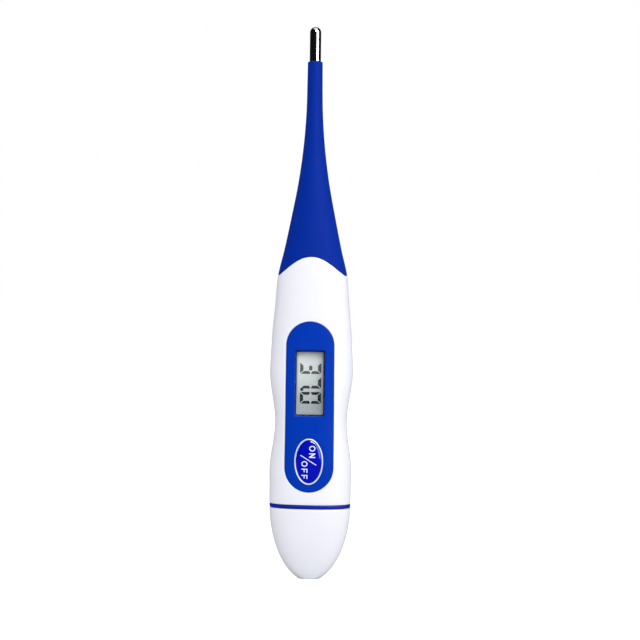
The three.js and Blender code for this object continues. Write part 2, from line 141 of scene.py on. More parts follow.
# ---------- form of the body, as in the CAD part ----------
BODY_WIDTHS = [(17.7, 9.45), (48, 9.65), (56, 9.25), (64, 8.55), (70.4, 8.0), (76, 6.7), (84, 5.05),
               (92, 3.55), (100, 2.5), (108, 1.92), (116, 1.76), (120, 1.73)]
BODY_DEPTHS = [(17.7, 5.6), (48, 5.7), (60, 5.6), (70, 5.15), (78, 4.5), (88, 3.55), (96, 2.8),
               (104, 2.15), (110, 1.87), (116, 1.76), (120, 1.73)]
TAIL_CENTRE = 17.7
TAIL_WIDTH_REACH = 18.25
TAIL_DEPTH_REACH = 19.5
WAIST = (24.5, 48.5)
WAIST_DEPTH = 1.35
FULLNESS = 2.4  # 2 is an ellipse, more is boxier
FULL_BELOW = 60
ROUND_ABOVE = 92
WALL = 1.3
SHOULDER_SIDE = 70.2
SHOULDER_RISE = 4.3
SHOULDER_POWER = 3
PANEL_LOW_RADIUS = 5.6
PANEL_HIGH_RADIUS = 5.5
RIM_OUTER = (3.32, 5.35)
RIM_INNER = (3.0, 4.95)

LENGTH = cad_box[1][2] / MM
SEAL_LOW, SEAL_HIGH = span("seal_ring", 2)
PANEL_LOW, PANEL_HIGH = span("display_panel", 2)
BUTTON_Z = sum(span("button_ring", 2)) / 2
GLASS_FRONT = span("lcd_glass", 1)[0]
SLEEVE_TOP = span("sleeve_link_10", 2)[1]
SKIRT_LOW = span("sensor_cap", 2)[0]
SKIRT_RADIUS = 1.05
SENSOR_RADIUS = span("sensor_cap", 0)[1]
SENSOR_WALL = 0.35
PLUG_TOP = span("battery_cap", 2)[1]
LABEL_FACE = 5.1
LABEL = ((0, 43), (5, 13), 1.2)  # centre, half size and corner radius
WINDOW_CENTRE = (0, 45.45)
WINDOW_HALF = (3.45, 7.55)
WINDOW = (WINDOW_CENTRE, WINDOW_HALF, 0.25)
JOINT_Z = [j["pos_m"][2] / MM for j in frame["joints"] if j["name"].startswith("bend_")]

SEAM = 0.05  # what shows between fitted pieces
COLUMNS = 192  # points round a section of the body
SMALL_COLUMNS = 96  # and of the sensor, battery and switch
KEY_COLUMNS = 112
RIM_COLUMNS = 160
ROUND_STEPS = 5  # points over a small rounded edge


def through_stations(stations):
    """A smooth curve through (height, size) pairs, without curvature at its ends."""
    heights, sizes = np.array(stations, float).T
    last = len(heights) - 1

    def size_at(z):
        z = np.clip(z, heights[0], heights[-1])
        high = np.clip(np.searchsorted(heights, z, side="right"), 1, last)
        low = high - 1
        before = np.where(low == 0, high, low - 1)
        after = np.where(high == last, low, np.minimum(high + 1, last))
        step = heights[high] - heights[low]
        p = (z - heights[low]) / step
        lead = 0.5 * step / (heights[low] - heights[before])
        lag = 0.5 * step / (heights[after] - heights[high])
        return (
            (-lead * p**3 + 2 * lead * p**2 - lead * p) * sizes[before]
            + ((1 + lead) * p**3 - (1.5 + 2 * lead) * p**2 + (lead - 0.5) * p + 1) * sizes[low]
            + (-(1 + lag) * p**3 + (1.5 + lag) * p**2 + 0.5 * p) * sizes[high]
            + (lag * p**3 - lag * p**2) * sizes[after]
        )

    return size_at


plain_half_width = through_stations(BODY_WIDTHS)
plain_half_depth = through_stations(BODY_DEPTHS)


def smooth(t):
    t = np.clip(t, 0, 1)
    return t * t * (3 - 2 * t)


def half_sizes(z):
    """Half-width and half-depth of the body at a height."""
    z = np.asarray(z, float)
    level = np.maximum(z, TAIL_CENTRE)
    drop = np.maximum(TAIL_CENTRE - z, 0)
    width_share = np.sqrt(1 - (drop / TAIL_WIDTH_REACH) ** 2)
    depth_share = np.sqrt(1 - (drop / TAIL_DEPTH_REACH) ** 2)
    along = np.clip((z - WAIST[0]) / (WAIST[1] - WAIST[0]), 0, 1)
    waist = WAIST_DEPTH * np.sin(np.pi * along) ** 2
    return plain_half_width(level) * width_share - waist, plain_half_depth(level) * depth_share


def fullness(z):
    share = smooth((np.asarray(z, float) - FULL_BELOW) / (ROUND_ABOVE - FULL_BELOW))
    return FULLNESS + (2 - FULLNESS) * share


def on_body(angle, z, inset=0.0, front=None):
    """Points on the body's surface, or inset from it, and no further forward than y = front."""
    width, depth = half_sizes(z)
    power = 2 / fullness(z)
    sine, cosine = np.sin(angle), np.cos(angle)
    x = (width - inset) * np.sign(sine) * np.abs(sine) ** power
    y = -(depth - inset) * np.sign(cosine) * np.abs(cosine) ** power
    if front is not None:
        y = np.maximum(y, front)
    return np.stack(np.broadcast_arrays(x, y, np.asarray(z, float)), axis=-1)


def angle_at(x, z, inset=0.0, back=False):
    """Angle round the body where its surface has this x."""
    share = np.clip(np.abs(x) / (half_sizes(z)[0] - inset), 0, 1)
    angle = np.arcsin(share ** (fullness(z) / 2)) * np.sign(x)
    return np.pi - angle if back else angle


def front_of(x, z):
    """y of the body's front surface."""
    width, depth = half_sizes(z)
    n = fullness(z)
    return -depth * np.clip(1 - np.abs(x / width) ** n, 0, 1) ** (1 / n)


def shoulder(angle):
    """Height where housing and sleeve meet."""
    n = float(fullness(SHOULDER_SIDE + SHOULDER_RISE / 2))
    return SHOULDER_SIDE + SHOULDER_RISE * np.abs(np.cos(angle)) ** (2 * SHOULDER_POWER / n)


def turns(count):
    """Even angles round a full turn."""
    return np.arange(count) * 2 * np.pi / count


ROUND = turns(COLUMNS) - np.pi / 2


def rounded(distance, radius):
    """How far a rounded edge has dropped at this distance in from the edge."""
    left = radius - np.clip(distance, 0, radius)
    return radius - np.sqrt(radius * radius - left * left)


def edge_steps(radius):
    """Distances in from a rounded edge, closer together near it."""
    return [radius * (1 - math.cos(k * math.pi / 2 / (ROUND_STEPS - 1))) for k in range(ROUND_STEPS)]


# ---------- distances to flat outlines: negative inside ----------
def panel_distance(x, z):
    """From the panel's outline, a long oval a little wider at its foot."""
    low, high = PANEL_LOW + PANEL_LOW_RADIUS, PANEL_HIGH - PANEL_HIGH_RADIUS
    share = np.clip((z - low) / (high - low), 0, 1)
    radius = PANEL_LOW_RADIUS + (PANEL_HIGH_RADIUS - PANEL_LOW_RADIUS) * share
    return np.hypot(x, z - np.clip(z, low, high)) - radius


def panel_loop(grow, step=0.3):
    """Points along the panel's outline, moved out by grow."""
    low, high = PANEL_LOW + PANEL_LOW_RADIUS, PANEL_HIGH - PANEL_HIGH_RADIUS
    turns = int(math.pi * PANEL_LOW_RADIUS / step)
    sides = int((high - low) / step)
    arc = np.linspace(0, np.pi, turns, endpoint=False)
    side = np.linspace(0, 1, sides, endpoint=False)
    top_radius, low_radius = PANEL_HIGH_RADIUS + grow, PANEL_LOW_RADIUS + grow
    return np.concatenate([
        np.stack([top_radius * np.cos(arc), high + top_radius * np.sin(arc)], -1),
        np.stack([-top_radius + (top_radius - low_radius) * side, high + (low - high) * side], -1),
        np.stack([-low_radius * np.cos(arc), low - low_radius * np.sin(arc)], -1),
        np.stack([low_radius + (top_radius - low_radius) * side, low + (high - low) * side], -1),
    ])


def rectangle_distance(x, z, centre, half, corner):
    """From a rectangle with rounded corners."""
    across = np.abs(x - centre[0]) - (half[0] - corner)
    up = np.abs(z - centre[1]) - (half[1] - corner)
    outside = np.hypot(np.maximum(across, 0), np.maximum(up, 0))
    return outside + np.minimum(np.maximum(across, up), 0) - corner


def rectangle_loop(centre, half, corner, grow, step=0.3):
    radius = corner + grow
    reach = (half[0] - corner, half[1] - corner)
    points = []
    for quarter, (sx, sz) in enumerate([(1, 1), (-1, 1), (-1, -1), (1, -1)]):
        for turn in np.linspace(0, np.pi / 2, 6):
            angle = quarter * np.pi / 2 + turn
            points.append((
                centre[0] + sx * reach[0] + radius * math.cos(angle),
                centre[1] + sz * reach[1] + radius * math.sin(angle),
            ))
    return even_loop(np.array(points), step)


def even_loop(points, step):
    """The same closed outline with points added along its long sides."""
    found = []
    for here, there in zip(points, np.roll(points, -1, axis=0)):
        pieces = max(1, round(float(np.hypot(*(there - here))) / step))
        found.extend(here + (there - here) * k / pieces for k in range(pieces))
    return np.array(found)


def oval_distance(x, z, half, centre=(0.0, 0.0)):
    x, z = x - centre[0], z - centre[1]
    level = np.hypot(x / half[0], z / half[1]) + 1e-9
    slope = np.hypot(x / half[0] ** 2, z / half[1] ** 2) / level + 1e-9
    return (level - 1) / slope


def oval_loop(half, grow, centre, count=KEY_COLUMNS):
    turn = turns(count)
    return np.stack([
        centre[0] + (half[0] + grow) * np.cos(turn), centre[1] + (half[1] + grow) * np.sin(turn),
    ], -1)


# ---------- meshes ----------
def fill(loops, keep, step, lines=()):
    """Triangles over the flat region that keep() accepts, with the loops and lines as edges."""
    points, edges = [], []
    for line, closed in [(loop, True) for loop in loops] + [(line, False) for line in lines]:
        first, count = len(points), len(line)
        points.extend(map(tuple, line))
        edges.extend((first + k, first + k + 1) for k in range(count - 1))
        if closed:
            edges.append((first + count - 1, first))
    drawn = np.array(points)
    tree = kdtree.KDTree(len(points))
    for index, (x, z) in enumerate(points):
        tree.insert((x, z, 0), index)
    tree.balance()
    low, high = drawn.min(0), drawn.max(0)
    for row, z in enumerate(np.arange(low[1] + step / 2, high[1], step * 0.87)):
        xs = np.arange(low[0] + step * (0.5 if row % 2 else 1.0), high[0], step)
        for x in xs[keep(np.stack([xs, np.full_like(xs, z)], -1))]:
            if tree.find((x, z, 0))[2] > 0.6 * step:
                points.append((x, z))
    found = geometry.delaunay_2d_cdt([Vector(p) for p in points], edges, [], 0, 1e-7)
    coords = np.array([tuple(v) for v in found[0]])
    faces = np.array([tuple(f) for f in found[2]])
    return coords, faces[keep(coords[faces].mean(1))].tolist()


def boundary(faces):
    """Edges that only one face has, in that face's direction."""
    count = {}
    for face in faces:
        for a, b in zip(face, [*face[1:], face[0]]):
            count[(a, b)] = count.get((a, b), 0) + 1
    return [(a, b) for a, b in count if (b, a) not in count]


def piece(name, points, faces, material, slot, body=None, nodes=(), sharp=38):
    """A mesh object of the thermometer, welded, smooth and facing out."""
    mesh = bpy.data.meshes.new(name)
    mesh.from_pydata((np.asarray(points, float) * MM).tolist(), [], faces)
    work = bmesh.new()
    work.from_mesh(mesh)
    bmesh.ops.remove_doubles(work, verts=work.verts, dist=2e-7)
    bmesh.ops.dissolve_degenerate(work, edges=work.edges, dist=1e-8)
    bmesh.ops.recalc_face_normals(work, faces=work.faces)
    work.to_mesh(mesh)
    work.free()
    return finish_mesh(name, mesh, material, body, nodes, sharp)


def finish_mesh(name, mesh, material, body, nodes, sharp=38):
    mesh.shade_smooth()
    mesh.set_sharp_from_angle(angle=math.radians(sharp))
    mesh.materials.append(material)
    obj = added(name, mesh)
    if body:
        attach(obj, body)
    if nodes:
        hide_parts(*nodes)
    return obj


def strips(rings, closed=False):
    """Points and quads over rings of equal count. A closed set joins the last ring to the first."""
    count = len(rings[0])
    faces = []
    for row in range(len(rings) if closed else len(rings) - 1):
        here, there = row * count, (row + 1) % len(rings) * count
        for column in range(count):
            beside = (column + 1) % count
            faces.append((here + column, here + beside, there + beside, there + column))
    return np.concatenate(rings), faces


def capped_top(rings):
    """As strips, with the last ring closed by a fan."""
    points, faces = strips(rings)
    count = len(rings[0])
    last = (len(rings) - 1) * count
    faces += [(len(points), last + k, last + (k + 1) % count) for k in range(count)]
    return np.concatenate([points, [rings[-1].mean(0)]]), faces


def capped(rings):
    """As capped_top, with the first ring closed too."""
    points, faces = capped_top(rings)
    count = len(rings[0])
    faces += [(len(points), (k + 1) % count, k) for k in range(count)]
    return np.concatenate([points, [rings[0].mean(0)]]), faces


def slab(coords, faces, front, back):
    """A flat sheet's triangles made into a closed body between two surfaces y(x, z)."""
    x, z = coords.T
    count = len(coords)
    points = np.concatenate([
        np.stack(np.broadcast_arrays(x, front(x, z), z), -1),
        np.stack(np.broadcast_arrays(x, back(x, z), z), -1),
    ])
    solid = [list(f) for f in faces] + [[count + k for k in reversed(f)] for f in faces]
    solid += [[a, count + a, count + b, b] for a, b in boundary(faces)]
    return points, solid


def flat(y):
    """A surface at one y, for slab."""
    return lambda x, z: np.full_like(x, y)


def joined(*parts):
    """Several (points, faces) as one."""
    points, faces, first = [], [], 0
    for part_points, part_faces in parts:
        points.append(np.asarray(part_points))
        faces.extend([first + k for k in f] for f in part_faces)
        first += len(part_points)
    return np.concatenate(points), faces


def ring(z, inset=0.0, front=None):
    return on_body(ROUND, z, inset, front)


def oval(width, depth, z, count=COLUMNS):
    """A level ring with these half sizes."""
    turn = turns(count) - np.pi / 2
    return np.stack([width * np.sin(turn), -depth * np.cos(turn), np.full(count, float(z))], -1)


def circle(radius, z, count=COLUMNS):
    return oval(radius, radius, z, count)


# ---------- materials ----------
def node_tree(name):
    material = bpy.data.materials.new(name)
    material.use_nodes = True
    tree = material.node_tree
    return material, tree, tree.nodes["Principled BSDF"]


def feed(socket, value):
    """Links an output to a socket, or sets the socket to a constant."""
    if isinstance(value, bpy.types.NodeSocket):
        socket.id_data.links.new(value, socket)
    else:
        socket.default_value = (*value, 1) if socket.type == "RGBA" else value


def set_inputs(node, **values):
    """Feeds a node's sockets, with _ for each space in a socket's name."""
    for socket, value in values.items():
        feed(node.inputs[socket.replace("_", " ")], value)


def new_node(tree, kind, **values):
    node = tree.nodes.new("ShaderNode" + kind)
    set_inputs(node, **values)
    return node


def mixed_shader(tree, share, first, second):
    """One shader turning into another with share."""
    mix = new_node(tree, "MixShader")
    for socket, output in zip(mix.inputs, (share, first, second)):
        feed(socket, output)
    return mix.outputs[0]


def light_path(tree, kind):
    return new_node(tree, "LightPath").outputs[kind]


def place_of(tree):
    return new_node(tree, "TexCoord").outputs["Object"]


def noise(tree, size, detail=2.0, stretch=(1, 1, 1)):
    """Noise whose spots are about size millimetres across."""
    scale = [1 / (MM * size * s) for s in stretch]
    mapping = new_node(tree, "Mapping", Vector=place_of(tree), Scale=scale)
    texture = new_node(tree, "TexNoise", Vector=mapping.outputs["Vector"], Scale=1.0, Detail=detail)
    return texture.outputs["Fac"]


def between(tree, value, low, high, start=0.3, end=0.7):
    """Value, which runs from start to end, as a number from low to high."""
    ends = {"From_Min": start, "From_Max": end, "To_Min": low, "To_Max": high}
    return new_node(tree, "MapRange", Value=value, **ends).outputs["Result"]


def blended(tree, share, first, second):
    """One colour turning into another with share. Each is a colour or an output."""
    node = new_node(tree, "Mix", Factor=share)
    node.data_type = "RGBA"
    for socket, colour in zip([s for s in node.inputs if s.type == "RGBA"], (first, second)):
        feed(socket, colour)
    return next(s for s in node.outputs if s.type == "RGBA")


def add_bump(tree, shader, height, depth, strength=1.0):
    """Bump of depth millimetres, on top of any there."""
    node = new_node(tree, "Bump", Strength=strength, Distance=depth * MM, Height=height)
    if shader.inputs["Normal"].is_linked:
        set_inputs(node, Normal=shader.inputs["Normal"].links[0].from_socket)
    set_inputs(shader, Normal=node.outputs["Normal"])


def calculated(tree, operation, *terms):
    node = new_node(tree, "Math")
    node.operation = operation
    for socket, term in zip(node.inputs, terms):
        feed(socket, term)
    return node.outputs[0]


def worn_edges(tree, amount):
    """How worn a place is, more on outer edges and broken up by noise."""
    sharpness = new_node(tree, "NewGeometry").outputs["Pointiness"]
    edge = between(tree, sharpness, 0, amount, 0.52, 0.62)
    return calculated(tree, "MULTIPLY", edge, between(tree, noise(tree, 0.8, 4), 0.2, 1))


def shaded(colour, factor):
    return tuple(min(1, c * factor) for c in colour)


def plastic(name, colour, roughness, grain, grain_depth, drift, worn=None, **sockets):
    """Moulded plastic or rubber: colour that drifts, uneven gloss, fine grain and slightly worn edges."""
    material, tree, shader = node_tree(name)
    base = blended(
        tree, between(tree, noise(tree, 6, 3), 0, 1), shaded(colour, 1 - drift), shaded(colour, 1 + drift)
    )
    if worn:
        base = blended(tree, worn_edges(tree, 0.5), base, worn)
    gloss = between(tree, noise(tree, 2.5, 4), *roughness)
    set_inputs(shader, Base_Color=base, Roughness=gloss, **sockets)
    add_bump(tree, shader, noise(tree, 4, 1), 0.01, 0.5)
    add_bump(tree, shader, noise(tree, grain, 3), grain_depth)
    return material


def metal(name, colour, roughness=(0.1, 0.2), stretch=(1, 1, 1), brushed=0.15, depth=0.002, worn=None):
    """Metal with fine marks, which stretch draws out into lines."""
    material, tree, shader = node_tree(name)
    marks = noise(tree, brushed, 4, stretch)
    base = blended(
        tree, between(tree, noise(tree, 3, 3), 0, 1), shaded(colour, 0.94), shaded(colour, 1.04)
    )
    if worn:
        base = blended(tree, worn_edges(tree, 0.6), base, worn)
    set_inputs(shader, Metallic=1.0, Base_Color=base, Roughness=between(tree, marks, *roughness))
    add_bump(tree, shader, marks, depth)
    return material


def coordinate(tree, axis):
    return new_node(tree, "SeparateXYZ", Vector=place_of(tree)).outputs[axis]


def height_share(tree, low, high):
    """From 0 at a height of low millimetres to 1 at high."""
    return between(tree, coordinate(tree, "Z"), 0, 1, low * MM, high * MM)


def side_share(tree, near, far):
    """From 0 at near millimetres either side of the middle to 1 at far."""
    away = calculated(tree, "ABSOLUTE", coordinate(tree, "X"))
    return between(tree, away, 0, 1, near * MM, far * MM)


white_abs = plastic(
    "white_abs", (0.83, 0.84, 0.90), (0.32, 0.42), 0.15, 0.002, 0.008,
    Coat_Weight=0.1, Coat_Roughness=0.15, Specular_IOR_Level=0.3,
)
panel_gloss = plastic(
    "panel_gloss", (0.0, 0.036, 0.41), (0.3, 0.38), 0.5, 0.001, 0.02, Specular_IOR_Level=0.03,
)
sleeve_tpe = plastic(
    "sleeve_tpe", (0.0, 0.023, 0.3), (0.55, 0.65), 0.09, 0.006, 0.03, Specular_IOR_Level=0.025,
)
seal_rubber = plastic(
    "seal_rubber", (0.0, 0.012, 0.31), (0.35, 0.5), 0.1, 0.005, 0.05, Specular_IOR_Level=0.15,
)
key_acrylic = plastic(
    "key_acrylic", (0.0, 0.004, 0.44), (0.07, 0.12), 0.6, 0.0008, 0.03,
    Coat_Weight=1.0, Coat_Roughness=0.03, Specular_IOR_Level=0.1,
)
ink_white = plastic("ink_white", (0.72, 0.75, 0.93), (0.35, 0.5), 0.05, 0.002, 0.03)
rim_pearl = plastic(
    "rim_pearl", (0.80, 0.91, 1.0), (0.14, 0.24), 0.2, 0.001, 0.02, (0.9, 0.95, 1.0),
    Metallic=0.1, Coat_Weight=0.5, Coat_Roughness=0.08,
)
# Dark navy of the frame round the display window: painted shadow for the shade inside the window's recess.
window_shade_paint = plastic("window_shade_paint", (0.0, 0.006, 0.055), (0.35, 0.5), 0.1, 0.002, 0.1, Specular_IOR_Level=0.15)
sensor_metal = metal("sensor_metal", (0.66, 0.66, 0.68), (0.05, 0.11), (1, 1, 0.12), 0.4, 0.0008)
cell_steel = metal("cell_steel", (0.6, 0.6, 0.61), (0.2, 0.34), (1, 0.2, 1), 0.3, 0.002, (0.75, 0.75, 0.76))
spring_steel = metal("spring_steel", (0.5, 0.5, 0.51), (0.25, 0.4), (1, 1, 4), 0.2, 0.003, (0.7, 0.7, 0.7))
buzzer_brass = metal("buzzer_brass", (0.6, 0.4, 0.12), (0.25, 0.4), (1, 1, 1), 0.4, 0.003, (0.8, 0.6, 0.3))
board_green = plastic("board_green", (0.015, 0.13, 0.05), (0.3, 0.45), 0.3, 0.01, 0.15, Coat_Weight=0.3)
carrier_plastic = plastic("carrier_plastic", (0.7, 0.71, 0.72), (0.45, 0.6), 0.12, 0.008, 0.02)
rubber_black = plastic("rubber_black", (0.02, 0.02, 0.022), (0.6, 0.8), 0.15, 0.01, 0.1)
epoxy_black = plastic("epoxy_black", (0.012, 0.012, 0.013), (0.25, 0.4), 0.5, 0.02, 0.1)
ceramic_tan = plastic("ceramic_tan", (0.4, 0.26, 0.12), (0.5, 0.65), 0.1, 0.006, 0.08)
lead_red = plastic("lead_red", (0.4, 0.03, 0.02), (0.4, 0.55), 0.1, 0.004, 0.05)
reflector_white = plastic("reflector_white", (0.72, 0.74, 0.68), (0.35, 0.5), 0.1, 0.003, 0.02)


# Painted light: the display film turns paler over these heights.
GREY_FADE = (40, 51)  # heights over which the display turns paler
# Painted light: the figures fade from black to grey over these heights, as the display looks at this viewing
# angle.
INK_FADE = (43, 49.5)


def display_grey():
    """Grey display film, with painted light that makes it paler towards the top and painted shade that
    darkens it near the window's sides.
    """
    material, tree, shader = node_tree("film_grey")
    # Painted light: the film's grey is paler towards the top.
    base = blended(tree, height_share(tree, *GREY_FADE), (0.243, 0.268, 0.273), (0.563, 0.577, 0.572))
    # Painted shade: the film turns darker near the window's sides, where the recess walls shade it.
    side = side_share(tree, WINDOW_HALF[0] - 0.85, WINDOW_HALF[0] - 0.3)
    base = blended(tree, side, base, (0.3, 0.33, 0.34))
    base = blended(tree, between(tree, noise(tree, 0.25, 3), 0, 0.12), base, (0.5, 0.55, 0.5))
    gloss = between(tree, noise(tree, 1.5, 3), 0.22, 0.34)
    set_inputs(shader, Base_Color=base, Roughness=gloss, Specular_IOR_Level=0.05)
    add_bump(tree, shader, noise(tree, 0.2, 2), 0.002)
    return material


def display_ink():
    """Liquid-crystal figures, black at the foot and paler towards the top, where the paler grey is painted
    light for the display's weaker contrast at this viewing angle.
    """
    material, tree, shader = node_tree("display_ink")
    # Painted light: the figures are paler towards the top.
    base = blended(tree, height_share(tree, *INK_FADE), (0.002, 0.003, 0.003), (0.08, 0.09, 0.085))
    base = blended(tree, between(tree, noise(tree, 0.3, 2), 0, 0.04), base, (0.1, 0.11, 0.1))
    gloss = between(tree, noise(tree, 1.5, 2), 0.5, 0.6)
    set_inputs(shader, Base_Color=base, Roughness=gloss, Specular_IOR_Level=0.0)
    return material


def clear_lens():
    """Thin clear plastic that lets lamps through to what is behind it."""
    material, tree, shader = node_tree("clear_lens")
    set_inputs(shader, Base_Color=(0.97, 0.985, 0.98), Transmission_Weight=1.0, IOR=1.3)
    set_inputs(shader, Roughness=between(tree, noise(tree, 3, 3), 0.01, 0.04))
    add_bump(tree, shader, noise(tree, 3, 1), 0.001, 0.3)
    clear = new_node(tree, "BsdfTransparent").outputs[0]
    mix = mixed_shader(tree, light_path(tree, "Is Shadow Ray"), shader.outputs[0], clear)
    set_inputs(tree.nodes["Material Output"], Surface=mix)
    return material


film_grey = display_grey()

# ---------- battery cap and seal ----------
CAP_EDGE = 0.14
PLUG_INSET = 1.6
PLUG_WALL = 0.8
PLUG_FRONT = -3.4
CAP_HOLLOW_LOW = 2.4


def battery_cap():
    """Rounded tail with the plug that pushes into the housing, hollow down its middle."""
    top = SEAL_LOW - SEAM
    rings = [ring(top * (k / 44) ** 1.8) for k in range(44)]
    rings = [r for r in rings if r[0][2] < top - CAP_EDGE - 0.1]
    rings += [ring(top - d, rounded(d, CAP_EDGE)) for d in reversed(edge_steps(CAP_EDGE))]
    rings += [ring(top, inset, PLUG_FRONT) for inset in (0.8, PLUG_INSET - 0.1)]
    rings += [ring(top + 0.1, PLUG_INSET, PLUG_FRONT)]
    rings += [ring(z, PLUG_INSET, PLUG_FRONT) for z in np.linspace(top + 1, PLUG_TOP - 0.35, 5)]
    rings += [ring(PLUG_TOP - 0.1, PLUG_INSET + 0.1, PLUG_FRONT + 0.1)]
    rings += [ring(PLUG_TOP, PLUG_INSET + 0.3, PLUG_FRONT + 0.3)]
    inner = PLUG_INSET + PLUG_WALL
    rings += [ring(PLUG_TOP, inner - 0.15, PLUG_FRONT + PLUG_WALL - 0.15)]
    rings += [ring(z, inner, PLUG_FRONT + PLUG_WALL) for z in np.linspace(PLUG_TOP - 0.15, top - 1, 6)]
    hollow = top - 1.2
    rings += [
        ring(hollow + (CAP_HOLLOW_LOW - hollow) * (1 - (1 - k / 16) ** 1.6), WALL) for k in range(17)
    ]
    return capped(rings)


def seal_ring():
    """Flat rubber ring with a slightly bulging rim."""
    middle, half = (SEAL_LOW + SEAL_HIGH) / 2, (SEAL_HIGH - SEAL_LOW) / 2
    rings = []
    for turn in np.linspace(-np.pi / 2, np.pi / 2, 11):
        rings.append(ring(middle + half * math.sin(turn), 0.02 + 0.2 * (1 - math.cos(turn) ** 0.6)))
    rings += [ring(SEAL_HIGH, inset, PLUG_FRONT - 0.04) for inset in (0.8, PLUG_INSET - 0.04)]
    rings += [ring(SEAL_LOW, inset, PLUG_FRONT - 0.04) for inset in (PLUG_INSET - 0.04, 0.8)]
    return strips(rings, closed=True)


piece("tail_cap", *battery_cap(), white_abs, "white_plastic", "battery_cap", ["battery_cap"])
piece("tail_seal", *seal_ring(), seal_rubber, "seal_blue", "battery_cap", ["seal_ring"])

# ---------- housing ----------
HOUSING_LOW = SEAL_HIGH + SEAM
EDGE = 0.12
SHOULDER_EDGE = 0.3
SHOULDER_LEAN = 0.85  # distance from the slanting edge for each millimetre below it
PANEL_GAP = 0.06
INNER_FRONT = -3.7
CAVITY_TOP = 66.5
SPIGOT_FOOT = (5.0, 3.3, SHOULDER_SIDE + 0.5)  # half width, half depth and height
SPIGOT_TIP = (2.6, 2.1, 84)
LEAD_BORE = 0.9
FLAT_SCALE = 8.0  # millimetres of a laid-out sheet for each radian round the body
GRID = 0.55
LABEL_EDGE = 0.35


def laid_out(loop, inset=0.0, back=False):
    """A loop of (x, z) as (across, height) on the sheet that is wrapped round the body."""
    x, z = loop.T
    return np.stack([FLAT_SCALE * angle_at(x, z, inset, back), z], -1)


def wrapped(low, high, hole_steps, inset, shape, low_steps=(0.0,), high_steps=(0.0,), label=False):
    """One skin of the housing, from low to high(angle), with the panel's opening in its front."""
    start, end = -np.pi / 2, 3 * np.pi / 2
    columns = np.linspace(start, end, COLUMNS + 1)
    lines = [np.stack([FLAT_SCALE * columns, np.full_like(columns, low + d)], -1) for d in low_steps]
    lines += [np.stack([FLAT_SCALE * columns, high(columns) - d], -1) for d in high_steps]
    edge_low, edge_high = low + max(low_steps), float(high(start)) - max(high_steps)
    rows = np.linspace(edge_low, edge_high, int((edge_high - edge_low) / GRID))
    lines += [np.stack([np.full_like(rows, FLAT_SCALE * a), rows], -1) for a in (start, end)]
    loops = [laid_out(panel_loop(PANEL_GAP + d), inset) for d in hole_steps]
    if label:
        for grow in (0, -LABEL_EDGE / 3, -LABEL_EDGE * 2 / 3, -LABEL_EDGE):
            edge = rectangle_loop(*LABEL, grow, 0.4)
            loops.append(laid_out(edge, inset, back=True)[::-1])

    def keep(points):
        angle, z = points[:, 0] / FLAT_SCALE, points[:, 1]
        x = on_body(angle, z, inset)[:, 0]
        in_front = np.cos(angle) > 0
        outside = (panel_distance(x, z) > PANEL_GAP) | ~in_front
        return outside & (z > low) & (z < high(angle)) & (angle > start) & (angle < end)

    coords, faces = fill(loops, keep, GRID, lines)
    return shape(coords[:, 0] / FLAT_SCALE, coords[:, 1]), faces


def outer_skin(angle, z):
    """Outside of the housing, with rounded edges and the flat for a label on its back."""
    inset = rounded(z - HOUSING_LOW, EDGE) + rounded((shoulder(angle) - z) * SHOULDER_LEAN, SHOULDER_EDGE)
    x = on_body(angle, z)[:, 0]
    points = on_body(angle, z, inset)
    in_front = np.cos(angle) > 0
    drop = rounded(panel_distance(x, z) - PANEL_GAP, EDGE)
    deep = smooth(-rectangle_distance(x, z, *LABEL) / LABEL_EDGE)
    flat = np.minimum(points[:, 1], LABEL_FACE)
    points[:, 1] = np.where(in_front, points[:, 1] + drop, points[:, 1] + (flat - points[:, 1]) * deep)
    return points


def inner_skin(angle, z):
    return on_body(angle, z, WALL, INNER_FRONT)


def housing():
    """White shell: outer and inner skin, mouth, shoulder, and the spigot that the sleeve grips."""
    outer = wrapped(
        HOUSING_LOW, shoulder, edge_steps(EDGE), 0.0, outer_skin,
        edge_steps(EDGE), [d / SHOULDER_LEAN for d in edge_steps(SHOULDER_EDGE)], label=True,
    )
    inner = wrapped(HOUSING_LOW, lambda angle: np.full_like(angle, CAVITY_TOP), [0.0], WALL, inner_skin)
    edge = panel_loop(PANEL_GAP)
    x, z = edge.T
    opening = strips([outer_skin(angle_at(x, z), z), inner_skin(angle_at(x, z, WALL), z)])
    mouth = strips([outer_skin(ROUND, HOUSING_LOW), inner_skin(ROUND, HOUSING_LOW)])
    rim = outer_skin(ROUND, shoulder(ROUND))
    shelf = [on_body(ROUND, shoulder(ROUND), inset) for inset in (0.9, 1.8)]
    spigot = [oval(*section) for section in np.linspace(SPIGOT_FOOT, SPIGOT_TIP, 9)]
    bore = [circle(LEAD_BORE, level) for level in (SPIGOT_TIP[2], CAVITY_TOP)]
    top = strips([rim, *shelf, *spigot, *bore, inner_skin(ROUND, CAVITY_TOP)])
    return joined(outer, inner, opening, mouth, top)


piece("housing_shell", *housing(), white_abs, "white_plastic", "housing", ["main_housing"])

# ---------- front panel, lens and display ----------
PANEL_SUNK = 0.03
PANEL_BACK = -3.95
WINDOW_EDGE = 0.14
HOLE_GAP = 0.03
HOLE_EDGE = 0.1
RIDGE_AWAY = 0.85
RIDGE_HALF = 0.4
RIDGE_HEIGHT = 0.045
BUTTON_CENTRE = (0, BUTTON_Z)


def button_hole_distance(x, z):
    return oval_distance(x, z, RIM_OUTER, BUTTON_CENTRE) - HOLE_GAP


def panel_face(x, z):
    """Front of the panel: it follows the housing, with rounded edges and a low ridge round the button."""
    y = front_of(x, z) + PANEL_SUNK
    y = y + rounded(-panel_distance(x, z), EDGE)
    y = y + rounded(rectangle_distance(x, z, *WINDOW), WINDOW_EDGE)
    away = button_hole_distance(x, z)
    y = y + rounded(away, HOLE_EDGE)
    return y - RIDGE_HEIGHT * smooth(1 - np.abs(away - RIDGE_AWAY) / RIDGE_HALF)


